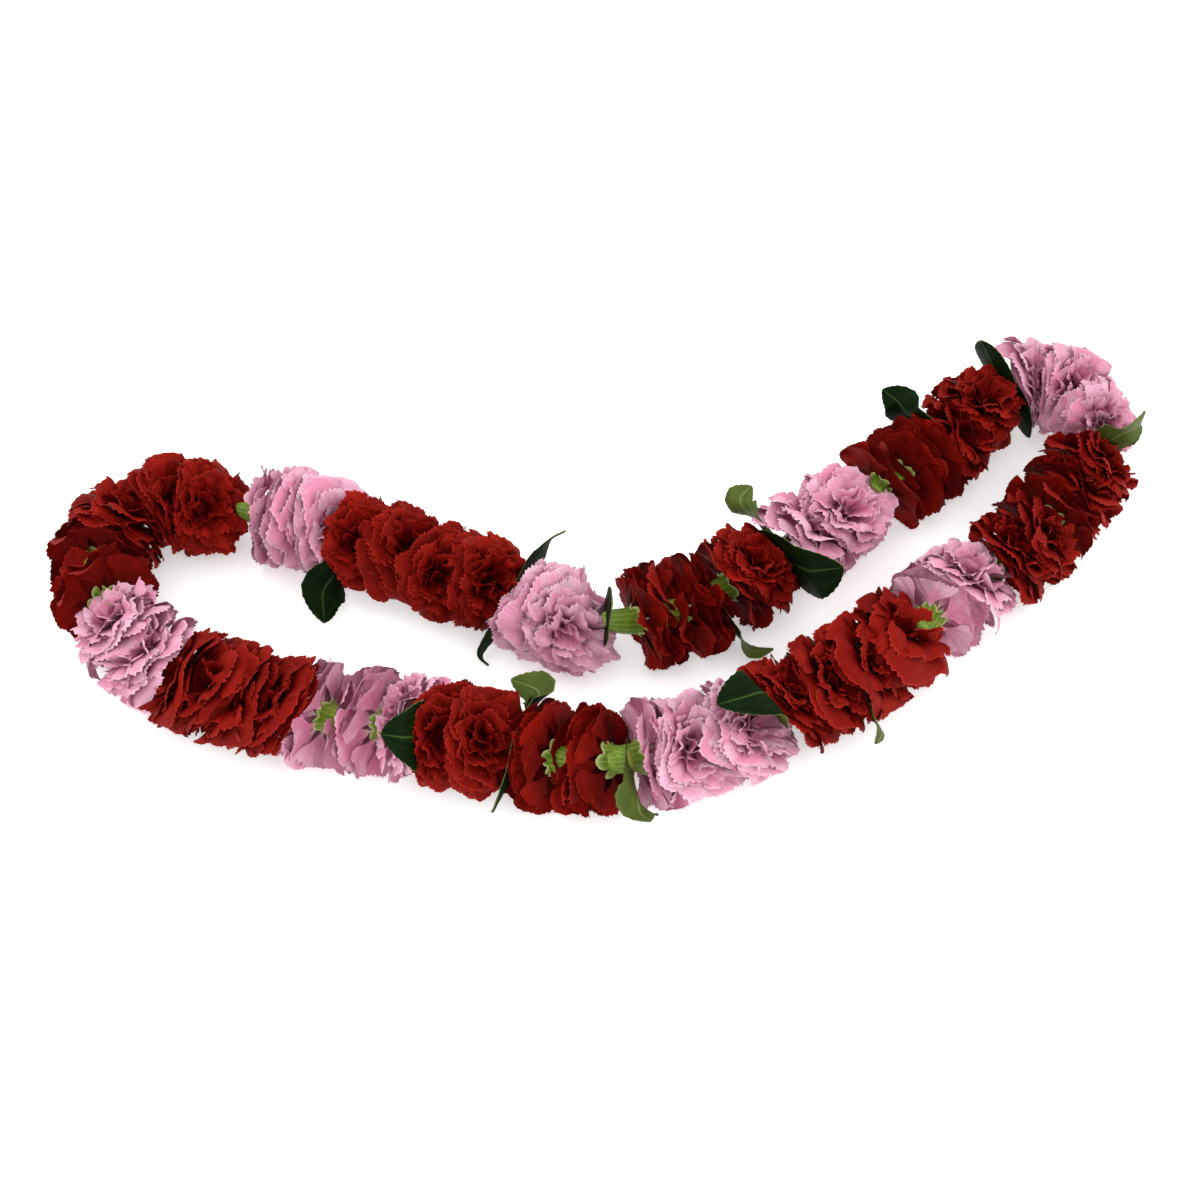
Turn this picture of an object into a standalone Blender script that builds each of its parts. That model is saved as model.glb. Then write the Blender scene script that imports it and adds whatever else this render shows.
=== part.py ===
"""A carnation lei laid flat in a closed crescent.

Red and pink carnations are threaded through calyx and heart on one string, with
camellia leaves pierced between them. Sizes are in millimetres until the mesh is made.
"""
import math
import random

import bpy
import numpy as np

MM = 0.001

# strand and flower sizes, in millimetres
AXIS_HEIGHT = 21.0
BLOOM_RADIUS = 23.4
WIDEST_REACH = 25.8
MID_RADIUS = 17.5
TUFT_RADIUS = 16.0
HEART_RADIUS = 11.0
SOCKET_RADIUS = 6.7
SOCKET_DEPTH = 10.5
CALYX_RADIUS = 4.8
CALYX_TAIL_RADIUS = 3.2
CALYX_LENGTH = 15.0
CALYX_TAIL = 8.5
BORE_RADIUS = 1.7
STRING_DIAMETER = 1.1
GAP = 0.7
TABLE_CLEARANCE = 0.3
LEAF_THICKNESS = 0.9
LEAF_SLOT = 2.6
SEED = 41

# plan of the string, clockwise seen from above, as the control points of a smooth closed curve
ROUTE = [
    (-225, 2), (-222, 22), (-209, 39), (-189, 44), (-166, 41), (-144, 37), (-121, 30), (-98, 19),
    (-74, 7), (-50, -2), (-28, -15), (-8, -25), (14, -26), (38, -20), (62, -5), (84, 13),
    (106, 31), (128, 50), (150, 65), (167, 81), (180, 95), (191, 110), (205, 121), (223, 120),
    (236, 108), (241, 89), (234, 67), (215, 38), (192, 13), (168, -7), (144, -28), (119, -49),
    (91, -67), (63, -83), (34, -94), (6, -99), (-22, -97), (-50, -88), (-80, -81), (-110, -77),
    (-140, -69), (-168, -59), (-193, -46), (-211, -24),
]

# round the string: colour, side the flowers face along the string, how many make each node,
# calyx shown behind the rearmost, distance along the string where the run ends; a leaf stands
# in a slot of its own
RUNS = [
    ("pink", 1, (1, 1, 1), 6, 143.5),
    ("leaf",),
    ("red", 1, (1, 2, 1), 0, 224.5),
    ("leaf",),
    ("pink", 1, (1, 1), 0, 268),
    ("leaf",),
    ("red", 1, (1, 1), 10, 320.5),
    ("leaf",),
    ("red", 1, (2,), 4, 358.5),
    ("leaf",),
    ("leaf",),
    ("pink", 1, (1, 1), 6, 419.5),
    ("red", 1, (1, 2), 4, 461.5),
    ("leaf",),
    ("red", 1, (1, 1), 0, 513),
    ("leaf",),
    ("leaf",),
    ("pink", 1, (1, 1, 1), 4, 583),
    ("leaf",),
    ("red", -1, (1, 2, 2), 6, 678.5),
    ("pink", -1, (1, 1), 4, 725.5),
    ("red", -1, (1, 1), 0, 769),
    ("leaf",),
    ("red", -1, (2,), 5, 807),
    ("leaf",),
    ("pink", -1, (1, 2), 0, 873),
    ("leaf",),
    ("red", 1, (1,), 5, 899),
    ("red", 1, (1,), 5, 920.5),
    ("leaf",),
    ("red", -1, (1, 1), 0, 957),
    ("leaf",),
    ("pink", 1, (1, 1), 4, 998),
    ("pink", 1, (1,), 5, 1021),
    ("red", 1, (2, 2), 0, 1079),
    ("pink", 1, (1, 1), 4, 1126),
    ("red", 1, (2, 1), 5, 1194),
    ("red", 1, (2,), 4, 1235),
]
FIRST_JOIN = 90.5

# leaves in the same order: degrees from outward to upward across the string, length and fold of
# the tip side, length and fold of the stalk side, width, turn of the tip; a fold runs along the
# string past the flowers, in degrees
LEAVES = [
    (195, 46, 35, 10, 0, 25, 40), (36, 38, 45, 37, 80, 18, 20), (108, 28, 0, 20, 0, 26, 0),
    (206, 40, 70, 22, 0, 17, 40), (145, 50, 38, 26, 0, 36, 0), (36, 41, 80, 8, 0, 22, 60),
    (27, 35, -19, 14, 0, 30, 50), (62, 31, -48, 14, 0, 28, 10), (212, 26, 0, 20, 0, 28, 0),
    (60, 39, -50, 8, 0, 18, 45), (-2, 37, 60, 26, 0, 18, 20), (80, 50, 80, 12, 0, 27, 0),
    (7, 36, -41, 12, 0, 24, 60), (175, 46, 82, 30, 60, 24, 70), (50, 40, 83, 14, 0, 30, 0),
]
FOLD_START = 27.5
FOLD_ARC = 6.0
HOLE_SPAN = 5.0

# lean of the flowers: distance along the string, slope across the string, slope upward
LEANS = [
    (0, 0.0, -0.20), (63, 0.0, -0.15), (153, 0.05, -0.20), (195, 0.0, -0.15), (226, 0.12, 0.10),
    (245, -0.05, -0.15), (269, -0.10, -0.42), (297, 0.10, -0.25), (329, 0.15, -0.40), (361, 0.15, -0.38),
    (390, 0.05, -0.40), (454, 0.0, -0.20), (504, 0.10, -0.35), (550, 0.0, 0.05),
    (582, 0.0, 0.15), (671, 0.10, 0.30), (741, 0.10, 0.25), (801, -0.05, 0.35), (862, 0.0, 0.25),
    (898, 0.10, 0.05), (922, 0.05, 0.10), (942, 0.05, 0.20), (1021, 0.10, -0.25), (1081, 0.05, -0.25),
]
# girth of the strand against its fullest: distance along the string, share
GIRTHS = [(0, 1.0), (63, 0.94), (219, 0.92), (274, 0.98), (424, 0.98), (504, 0.88), (552, 0.94), (571, 0.80),
          (592, 0.94), (681, 0.98), (881, 1.0), (1081, 0.97)]
RIPPLE = (1.2, 2.8)

COLOURS = {
    "red": (0.36, 0.012, 0.012, 1.0),
    "pink": (0.74, 0.33, 0.55, 1.0),
    "leaf": (0.03, 0.10, 0.02, 1.0),
    "string": (0.80, 0.78, 0.70, 1.0),
}


def spline_table(points, steps=32):
    """Positions, directions and bend of a closed cubic B-spline."""
    control = np.array(points, float)
    count = len(control)
    t = np.arange(steps) / steps
    weights = np.stack([(1 - t) ** 3, 3 * t ** 3 - 6 * t ** 2 + 4,
                        -3 * t ** 3 + 3 * t ** 2 + 3 * t + 1, t ** 3]) / 6
    slopes = np.stack([-(1 - t) ** 2, 3 * t ** 2 - 4 * t, -3 * t ** 2 + 2 * t + 1, t ** 2]) / 2
    bends = np.stack([1 - t, 3 * t - 2, 1 - 3 * t, t])
    place, slope, bend = [], [], []
    for i in range(count):
        four = control[[i - 1, i, (i + 1) % count, (i + 2) % count]]
        place.append(weights.T @ four)
        slope.append(slopes.T @ four)
        bend.append(bends.T @ four)
    place = np.vstack(place)
    slope = np.vstack(slope)
    bend = np.vstack(bend)
    speed = np.linalg.norm(slope, axis=1)
    curvature = (slope[:, 0] * bend[:, 1] - slope[:, 1] * bend[:, 0]) / speed ** 3
    steps_along = np.linalg.norm(np.roll(place, -1, axis=0) - place, axis=1)
    along = np.concatenate([[0.0], np.cumsum(steps_along)])
    return place, slope / speed[:, None], curvature, along


PLACE, HEADING, CURVATURE, ALONG = spline_table(ROUTE)
LENGTH = float(ALONG[-1])


def at(values, s):
    """Value of a table round the string at the distance s."""
    return float(np.interp(s % LENGTH, ALONG, np.append(values, values[0])))


def world(s, u, v):
    """Point u outward and v upward from the string at the distance s, kept above the table."""
    x, y = at(PLACE[:, 0], s), at(PLACE[:, 1], s)
    tx, ty = at(HEADING[:, 0], s), at(HEADING[:, 1], s)
    return (x - ty * u, y + tx * u, max(AXIS_HEIGHT + v, 0.0))


def girth(s):
    """Share of the fullest reach that the flowers have at the distance s."""
    marks = [row[0] for row in GIRTHS] + [LENGTH]
    return float(np.interp(s % LENGTH, marks, [row[1] for row in GIRTHS] + [GIRTHS[0][1]]))


def bend_limit(s, theta):
    """Reach that stays clear of the centre of a bend on its inner side."""
    toward = at(CURVATURE, s) * math.cos(theta)
    return 0.66 / toward if toward > 0.004 else 99.0


class Plane:
    """A leaning, rippled cut across the string."""

    def __init__(self, s, across, upward, ripple=0.0, lobes=2, turn=0.0):
        self.s, self.across, self.upward = s, across, upward
        self.ripple, self.lobes, self.turn = ripple, lobes, turn

    def at(self, u, v):
        reach = min(math.hypot(u, v) / 25.0, 1.08)
        wave = self.ripple * reach ** 2 * math.cos(self.lobes * math.atan2(v, u) + self.turn)
        return self.s + self.across * u + self.upward * v + wave

    def moved(self, distance):
        return Plane(self.s + distance, self.across, self.upward, self.ripple, self.lobes, self.turn)


def lean_plane(s, draw):
    """The cut at the distance s, with its lean read from the table and a small seeded change."""
    marks = [row[0] for row in LEANS] + [LENGTH]
    across = np.interp(s % LENGTH, marks, [row[1] for row in LEANS] + [LEANS[0][1]])
    upward = np.interp(s % LENGTH, marks, [row[2] for row in LEANS] + [LEANS[0][2]])
    tight = min(1.0, 0.006 / max(abs(at(CURVATURE, s)), 1e-6))
    across = (across + draw.uniform(-0.06, 0.06)) * tight
    upward = upward + draw.uniform(-0.06, 0.06)
    ripple = draw.uniform(*RIPPLE) * tight
    return Plane(s, float(across), float(upward), ripple, draw.choice((2, 3)), draw.uniform(0, 6.28))


def layout():
    """Slices of string for every flower and leaf, in order round the lei."""
    draw = random.Random(SEED)
    items = []
    s = FIRST_JOIN
    first = lean_plane(s, draw)
    start = first
    for number, run in enumerate(RUNS):
        if run[0] == "leaf":
            s += LEAF_SLOT
            end = start.moved(LEAF_SLOT)
            items.append({"kind": "leaf", "planes": [start, end]})
            start = end
            continue
        colour, side, groups, shown, end_mark = run
        closing = number == len(RUNS) - 1
        finish = FIRST_JOIN + LENGTH if closing else end_mark
        petals_from = s + shown if side > 0 else s
        petals_to = finish if side > 0 else finish - shown
        edges = [start.moved(shown) if side > 0 else start]
        count = sum(groups)
        shares = [draw.uniform(0.92, 1.08) for _ in range(count)]
        s = petals_from
        for i, share in enumerate(shares):
            s += (petals_to - petals_from) * share / sum(shares)
            edges.append(first.moved(LENGTH) if closing and i == count - 1 else lean_plane(s, draw))
        done = 0
        for order, size in enumerate(groups):
            rear = order == 0 if side > 0 else order == len(groups) - 1
            items.append({
                "kind": colour, "side": side, "planes": edges[done:done + size + 1],
                "shown": shown if rear else 0.0,
            })
            done += size
        start = edges[-1] if side > 0 else edges[-1].moved(shown)
        s = finish
    return items


def ring(planes, slice_index, t, angles, radii, wave, side, lift=TABLE_CLEARANCE):
    """Points round the string: t runs from the back of a slice to its front."""
    points = []
    back, front = planes[slice_index], planes[slice_index + 1]
    for theta, radius, shift in zip(angles, radii, wave):
        u, v = radius * math.cos(theta), max(radius * math.sin(theta), lift - AXIS_HEIGHT)
        share = t + shift
        if side < 0:
            share = 1.0 - share
        low, high = back.at(u, v) + GAP / 2, front.at(u, v) - GAP / 2
        points.append((low + (high - low) * share, u, v))
    return angles, points


def plain_ring(s, radius, sides, turn):
    """A round ring square to the string."""
    angles = [turn + 2 * math.pi * j / sides for j in range(sides)]
    return angles, [(s, radius * math.cos(a), radius * math.sin(a)) for a in angles]


def bridge(first, second, offset_first, offset_second, flip):
    """Triangles between two rings, paired by their angles round the string."""
    swap = len(first) > len(second)
    if swap:
        first, second = second, first
        offset_first, offset_second = offset_second, offset_first
    n, m = len(first), len(second)
    faces = []
    i = j = 0
    while i < n or j < m:
        next_i = first[i + 1] if i + 1 < n else first[0] + 2 * math.pi
        next_j = second[j + 1] if j + 1 < m else second[0] + 2 * math.pi
        a, b = offset_first + i % n, offset_second + j % m
        if j < m and (i >= n or next_j <= next_i + 1e-9):
            faces.append((a, offset_second + (j + 1) % m, b))
            j += 1
        else:
            faces.append((a, offset_first + (i + 1) % n, b))
            i += 1
    if swap != flip:
        faces = [tuple(reversed(face)) for face in faces]
    return faces


def close_rings(rings, flip):
    """One closed body from rings that follow each other out, round and back through the bore."""
    vertices, starts = [], []
    for _, points in rings:
        starts.append(len(vertices))
        vertices.extend(world(*point) for point in points)
    faces = []
    for k in range(len(rings)):
        after = (k + 1) % len(rings)
        faces += bridge(rings[k][0], rings[after][0], starts[k], starts[after], flip)
    return vertices, faces


def petal_ring(planes, index, t, count, reach, side, draw, turn, swing, depth, cleft, floor):
    """A waved ring of petal edges: a cleft between petals, the edge shifted fore and aft."""
    per_petal = count // 5
    angles, radii, wave = [], [], []
    middle = (planes[index].s + planes[index + 1].s) / 2
    for j in range(count):
        down = abs(math.sin(turn + 2 * math.pi * j / count) + 1.0) < 1e-6
        theta = turn + 2 * math.pi * (j + (0.0 if down else draw.uniform(-0.16, 0.16))) / count
        place = j % per_petal
        if place == 0:
            flare = draw.choice((-1, 1))
        notch = cleft if place == 0 else 1.0
        radius = girth(middle) * reach * notch * (1.0 + draw.uniform(-0.04, 0.04))
        radius *= 1.0 + swing[0] * math.cos(theta - swing[1])
        radius = min(radius, bend_limit(middle, theta), WIDEST_REACH)
        if down and floor and radius < AXIS_HEIGHT:
            radius = AXIS_HEIGHT
        angles.append(theta)
        radii.append(radius)
        ruffle = math.sin(2 * math.pi * place / per_petal) if per_petal > 2 else (1, -1)[place % 2]
        calm = 0.25 if floor and math.sin(theta) < -0.8 else 1.0
        wave.append(calm * depth * (flare * ruffle * 0.75 + draw.uniform(-0.25, 0.25)))
    return ring(planes, index, t, angles, radii, wave, side, 0.0 if floor else TABLE_CLEARANCE)


def flower(item, socket, tail, draw):
    """One carnation, or two pressed into each other, from the calyx to the front tuft."""
    planes, side = item["planes"], item["side"]
    order = list(range(len(planes) - 1))
    if side < 0:
        order.reverse()
    rings = []
    rear = planes[0] if side > 0 else planes[-1]
    front = planes[-1] if side > 0 else planes[0]
    turn = -math.pi / 2
    shown = item["shown"]
    stub = not tail and shown == 0
    clear = GAP / 2 + CALYX_RADIUS * math.hypot(rear.across, rear.upward)
    tail_reach = min(CALYX_LENGTH, shown + CALYX_TAIL) if tail else shown - clear
    tail_s = rear.s - side * tail_reach
    mouth_s = rear.s + side * (5.0 if stub else 1.6)
    rings.append(plain_ring(tail_s, 3.9 if stub else CALYX_TAIL_RADIUS, 5, turn))
    rings.append(plain_ring(mouth_s, CALYX_RADIUS, 5, turn))
    for number, index in enumerate(order):
        turn = -math.pi / 2 + (math.pi / 5 if draw.random() < 0.5 else 0.0)
        swing = (draw.uniform(0.0, 0.09), draw.uniform(0, 2 * math.pi))
        shape = [
            (0.10, 10, MID_RADIUS, 0.03, 0.93, True), (0.22, 20, BLOOM_RADIUS, 0.14, 0.88, True),
            (0.37, 10, MID_RADIUS, 0.03, 0.93, True), (0.42, 5, HEART_RADIUS, 0.0, 1.0, False),
            (0.46, 10, MID_RADIUS, 0.03, 0.93, False), (0.60, 20, BLOOM_RADIUS * 0.98, 0.14, 0.88, False),
            (0.74, 10, MID_RADIUS, 0.03, 0.93, False), (0.79, 5, HEART_RADIUS, 0.0, 1.0, False),
            (0.89, 15, TUFT_RADIUS, 0.06, 0.82, False),
        ]
        for t, count, reach, depth, cleft, floor in shape:
            rings.append(petal_ring(planes, index, t, count, reach, side, draw, turn, swing, depth,
                                    cleft, floor))
        if number < len(order) - 1:
            rings.append(ring(planes, index, 0.97, rings[1][0], [HEART_RADIUS] * 5, [0.0] * 5, side))
    turn = -math.pi / 2
    rings.append(ring(planes, order[-1], 0.93, rings[1][0], [SOCKET_RADIUS] * 5, [0.0] * 5, side))
    if socket:
        rings.append(plain_ring(front.s - side * SOCKET_DEPTH, SOCKET_RADIUS - 0.3, 5, turn))
        bore_front = front.s - side * SOCKET_DEPTH
    else:
        bore_front = front.s - side * 2.6
    pieces = max(1, math.ceil(abs(bore_front - tail_s) / bore_step((bore_front + tail_s) / 2)))
    for k in range(pieces + 1):
        rings.append(plain_ring(bore_front + (tail_s - bore_front) * k / pieces, BORE_RADIUS, 5, turn))
    return close_rings(rings, side < 0)


def bore_step(s):
    """Longest straight stretch of bore that still follows a bend of the string."""
    return math.sqrt(8 * 0.45 / max(abs(at(CURVATURE, s)), 0.002))


def leaf_path(a, length, fold):
    """Reach from the string and slide along it at the distance a along one side of a leaf."""
    past = max(0.0, a - FOLD_START)
    bent = math.radians(fold)
    arc = min(past, FOLD_ARC)
    angle = bent * arc / FOLD_ARC
    if abs(bent) < 1e-6:
        return a, 0.0, 0.0
    radius = FOLD_ARC / bent
    reach = min(a, FOLD_START) + radius * math.sin(angle) + (past - arc) * math.cos(angle)
    slide = radius * (1 - math.cos(angle)) + (past - arc) * math.sin(angle)
    return reach, slide, angle


def leaf_stops(length):
    """Distances from the string along one side of a leaf, closer together where it folds."""
    marks = (HOLE_SPAN, 12.5, 20.0, FOLD_START - 0.5, FOLD_START + 2.5, FOLD_START + FOLD_ARC)
    stops = [mark for mark in marks if mark < length - 2.5]
    if length - stops[-1] > 8.0:
        stops.append((stops[-1] + length) / 2)
    return stops


def leaf(item, shape, draw):
    """A pointed leaf pierced by the string, flat in its slot and free past the flowers."""
    direction, length, fold, stalk, stalk_fold, width, turn = shape
    phi, full_turn = math.radians(direction), math.radians(turn)
    start, end = item["planes"]
    middle = start.moved((end.s - start.s) / 2)
    wave_turn = draw.uniform(0, 6.28)

    def half_width(a):
        x = (length - a) / (length + stalk)
        return width / 2 * math.sin(math.pi * x ** 0.86) ** 0.8

    def place(a, b, lift):
        if a >= 0:
            reach, slide, bent = leaf_path(a, length, fold)
        else:
            reach, slide, bent = leaf_path(-a, stalk, stalk_fold)
            reach = -reach
            bent = -bent
        free = max(0.0, abs(a) - FOLD_START)
        twist = full_turn * min(1.0, free / 14.0) if a > 0 else 0.0
        wave = 0.22 * math.sin(a * 0.33 + wave_turn) * (1 if b > 0 else -1) * min(1.0, abs(b) / 8)
        hump = 0.10 * abs(b) * min(1.0, free / 10.0)
        outward = lift * math.cos(twist) + b * math.sin(twist) + wave - hump
        flat = b * math.cos(twist) - lift * math.sin(twist)
        along = slide + outward * math.cos(bent)
        radial = reach - outward * math.sin(bent)
        u = radial * math.cos(phi) - flat * math.sin(phi)
        v = radial * math.sin(phi) + flat * math.cos(phi)
        return (middle.at(u, v) + along, u, v)

    ahead, behind = leaf_stops(length), leaf_stops(stalk)
    stops = ahead[::-1] + [0.0] + [-a for a in behind]
    count, zero = len(stops), len(ahead)
    edges = [(length, 0.0)] + [(a, half_width(a)) for a in stops]
    edges += [(-stalk, 0.0)] + [(a, -half_width(a)) for a in reversed(stops)]
    spots = edges + [(a, 0.0) for a in stops if a]
    bore = [(BORE_RADIUS * math.cos(k * math.pi / 3), BORE_RADIUS * math.sin(k * math.pi / 3))
            for k in range(6)]
    hub = len(spots)
    spots += bore
    left, right, ridge = {}, {}, {}
    for k, a in enumerate(stops):
        left[k] = 1 + k
        right[k] = len(edges) - 1 - k
        ridge[k] = len(edges) + k - (k > zero)
    stalk_end = count + 1
    faces = [(0, left[0], ridge[0]), (0, ridge[0], right[0])]
    last = count - 1
    faces += [(stalk_end, ridge[last], left[last]), (stalk_end, right[last], ridge[last])]
    for k in range(count - 1):
        if k in (zero - 1, zero):
            continue
        faces += [(left[k], left[k + 1], ridge[k + 1]), (left[k], ridge[k + 1], ridge[k])]
        faces += [(ridge[k], ridge[k + 1], right[k + 1]), (ridge[k], right[k + 1], right[k])]
    around = [ridge[zero - 1], left[zero - 1], left[zero], left[zero + 1],
              ridge[zero + 1], right[zero + 1], right[zero], right[zero - 1]]
    angles = [math.atan2(spots[i][1], spots[i][0]) % (2 * math.pi) for i in around]
    inner = [k * math.pi / 3 for k in range(6)]
    numbered = bridge(angles, inner, 0, len(around), False)
    names = around + [hub + k for k in range(6)]
    faces += [tuple(names[i] for i in face) for face in numbered]
    half, total = LEAF_THICKNESS / 2, len(spots)
    vertices = [world(*place(a, b, -half)) for a, b in spots] + [world(*place(a, b, half)) for a, b in spots]
    solid = [tuple(reversed(face)) for face in faces]
    solid += [tuple(i + total for i in face) for face in faces]
    for loop in (list(range(len(edges))), [hub + k for k in range(6)][::-1]):
        for i, j in zip(loop, loop[1:] + loop[:1]):
            solid += [(i, j, j + total), (i, j + total, i + total)]
    return vertices, solid


def string_points():
    """Points round the string, closer together in the bends."""
    points = []
    s = 0.0
    while s < LENGTH - 4.0:
        points.append(world(s, 0.0, 0.0))
        s += min(13.0, 0.75 * bore_step(s))
    return points


def add_mesh(name, vertices, faces, colour, shift):
    mesh = bpy.data.meshes.new(name)
    moved = [tuple((p[k] + shift[k]) * MM for k in range(3)) for p in vertices]
    mesh.from_pydata(moved, [], faces)
    mesh.update()
    item = bpy.data.objects.new(name, mesh)
    bpy.context.scene.collection.objects.link(item)
    mesh.materials.append(material(colour))
    return item


def material(colour):
    """The plain colour of a flower, a leaf or the string."""
    found = bpy.data.materials.get(colour)
    if found:
        return found
    made = bpy.data.materials.new(colour)
    made.use_nodes = True
    shader = made.node_tree.nodes["Principled BSDF"]
    shader.inputs["Base Color"].default_value = COLOURS[colour]
    shader.inputs["Roughness"].default_value = 0.4 if colour == "leaf" else 0.7
    shader.inputs["Metallic"].default_value = 0.0
    return made


def add_string(points, shift):
    curve = bpy.data.curves.new("string", "CURVE")
    curve.dimensions = "3D"
    curve.bevel_depth = STRING_DIAMETER / 2 * MM
    curve.bevel_resolution = 0
    spline = curve.splines.new("POLY")
    spline.points.add(len(points) - 1)
    for spot, point in zip(spline.points, points):
        spot.co = tuple((point[k] + shift[k]) * MM for k in range(3)) + (1.0,)
    spline.use_cyclic_u = True
    item = bpy.data.objects.new("string", curve)
    bpy.context.scene.collection.objects.link(item)
    curve.materials.append(material("string"))


def main():
    for item in list(bpy.data.objects):
        bpy.data.objects.remove(item, do_unlink=True)
    items = layout()
    draw = random.Random(SEED + 1)
    built = []
    counts = {"red": 0, "pink": 0, "leaf": 0}
    for k, item in enumerate(items):
        before, after = items[k - 1], items[(k + 1) % len(items)]
        counts[item["kind"]] += 1
        number = counts[item["kind"]]
        if item["kind"] == "leaf":
            vertices, faces = leaf(item, LEAVES[number - 1], draw)
            built.append((f"leaf_{number:02d}", vertices, faces, "leaf"))
            continue
        side = item["side"]
        behind, ahead = (before, after) if side > 0 else (after, before)
        tail = behind.get("side") == side
        socket = ahead.get("side") == side
        vertices, faces = flower(item, socket, tail, draw)
        built.append((f"{item['kind']}_carnation_{number:02d}", vertices, faces, item["kind"]))
    every = np.array([p for _, vertices, _, _ in built for p in vertices])
    low, high = every.min(axis=0), every.max(axis=0)
    shift = (-(low[0] + high[0]) / 2, -(low[1] + high[1]) / 2, -low[2])
    for name, vertices, faces, colour in built:
        add_mesh(name, vertices, faces, colour, shift)
    add_string(string_points(), shift)


main()
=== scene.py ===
"""Finished look of a carnation lei laid flat in a closed crescent.

Every flower is rebuilt petal by petal in the slice of string that it holds, with its calyx
behind it. Leaves get their fold, veins and thin margin, and the string its twist.
Sizes are in millimetres until a mesh is made, and angles in degrees where they are listed.

A place in the strand is s along the string, u outward and v upward from it. A place in a
flower is x and y across it and z forward, from the root of its petals towards its face.
"""

import math
import random
from collections import namedtuple

import bpy
import numpy as np
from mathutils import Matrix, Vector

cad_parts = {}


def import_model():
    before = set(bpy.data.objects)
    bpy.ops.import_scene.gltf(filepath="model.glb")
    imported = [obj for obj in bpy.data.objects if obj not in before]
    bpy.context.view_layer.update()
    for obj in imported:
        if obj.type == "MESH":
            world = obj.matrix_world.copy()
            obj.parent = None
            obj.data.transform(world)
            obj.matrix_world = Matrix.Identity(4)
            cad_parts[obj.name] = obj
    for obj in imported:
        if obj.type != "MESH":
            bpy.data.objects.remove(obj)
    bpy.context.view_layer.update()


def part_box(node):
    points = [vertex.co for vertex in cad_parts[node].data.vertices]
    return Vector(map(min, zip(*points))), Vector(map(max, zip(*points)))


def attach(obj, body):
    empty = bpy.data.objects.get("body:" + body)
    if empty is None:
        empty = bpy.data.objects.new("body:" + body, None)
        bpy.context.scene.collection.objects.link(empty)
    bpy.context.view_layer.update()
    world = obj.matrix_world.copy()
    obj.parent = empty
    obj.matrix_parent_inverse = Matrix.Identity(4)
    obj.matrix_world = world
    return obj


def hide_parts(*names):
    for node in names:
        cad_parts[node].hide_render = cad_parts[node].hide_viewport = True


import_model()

MM = 0.001
SEED = 41
# the widest angle that a seeded turn takes, in radians
ANY_TURN = 6.28

# strand, flower, leaf and string sizes
AXIS_HEIGHT = 21.0
WIDEST_REACH = 25.5
FIRM_REACH = 21.8
FLOWER_DEPTH = 19.0
GAP = 0.7
LEAF_THICKNESS = 0.9
LEAF_SLOT = 2.6
STRING_RADIUS = 0.55

# plan of the string, clockwise seen from above, as the control points of a smooth closed curve
ROUTE = [
    (-225, 2), (-222, 22), (-209, 39), (-189, 44), (-166, 41), (-144, 37), (-121, 30), (-98, 19),
    (-74, 7), (-50, -2), (-28, -15), (-8, -25), (14, -26), (38, -20), (62, -5), (84, 13),
    (106, 31), (128, 50), (150, 65), (167, 81), (180, 95), (191, 110), (205, 121), (223, 120),
    (236, 108), (241, 89), (234, 67), (215, 38), (192, 13), (168, -7), (144, -28), (119, -49),
    (91, -67), (63, -83), (34, -94), (6, -99), (-22, -97), (-50, -88), (-80, -81), (-110, -77),
    (-140, -69), (-168, -59), (-193, -46), (-211, -24),
]

# round the string: colour, side the flowers face along the string, how many make each node,
# calyx shown behind the rearmost, distance along the string where the run ends; the last run
# ends at the first join, and a leaf stands in a slot of its own
RUNS = [
    ("pink", 1, (1, 1, 1), 6, 143.5),
    ("leaf",),
    ("red", 1, (1, 2, 1), 0, 224.5),
    ("leaf",),
    ("pink", 1, (1, 1), 0, 268),
    ("leaf",),
    ("red", 1, (1, 1), 10, 320.5),
    ("leaf",),
    ("red", 1, (2,), 4, 358.5),
    ("leaf",),
    ("leaf",),
    ("pink", 1, (1, 1), 6, 419.5),
    ("red", 1, (1, 2), 4, 461.5),
    ("leaf",),
    ("red", 1, (1, 1), 0, 513),
    ("leaf",),
    ("leaf",),
    ("pink", 1, (1, 1, 1), 4, 583),
    ("leaf",),
    ("red", -1, (1, 2, 2), 6, 678.5),
    ("pink", -1, (1, 1), 4, 725.5),
    ("red", -1, (1, 1), 0, 769),
    ("leaf",),
    ("red", -1, (2,), 5, 807),
    ("leaf",),
    ("pink", -1, (1, 2), 0, 873),
    ("leaf",),
    ("red", 1, (1,), 5, 899),
    ("red", 1, (1,), 5, 920.5),
    ("leaf",),
    ("red", -1, (1, 1), 0, 957),
    ("leaf",),
    ("pink", 1, (1, 1), 4, 998),
    ("pink", 1, (1,), 5, 1021),
    ("red", 1, (2, 2), 0, 1079),
    ("pink", 1, (1, 1), 4, 1126),
    ("red", 1, (2, 1), 5, 1194),
    ("red", 1, (2,), 4, 1235),
]
FIRST_JOIN = 90.5
# seeded shares of a run's length that its flowers take
SLICE_SHARES = (0.92, 1.08)

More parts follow.
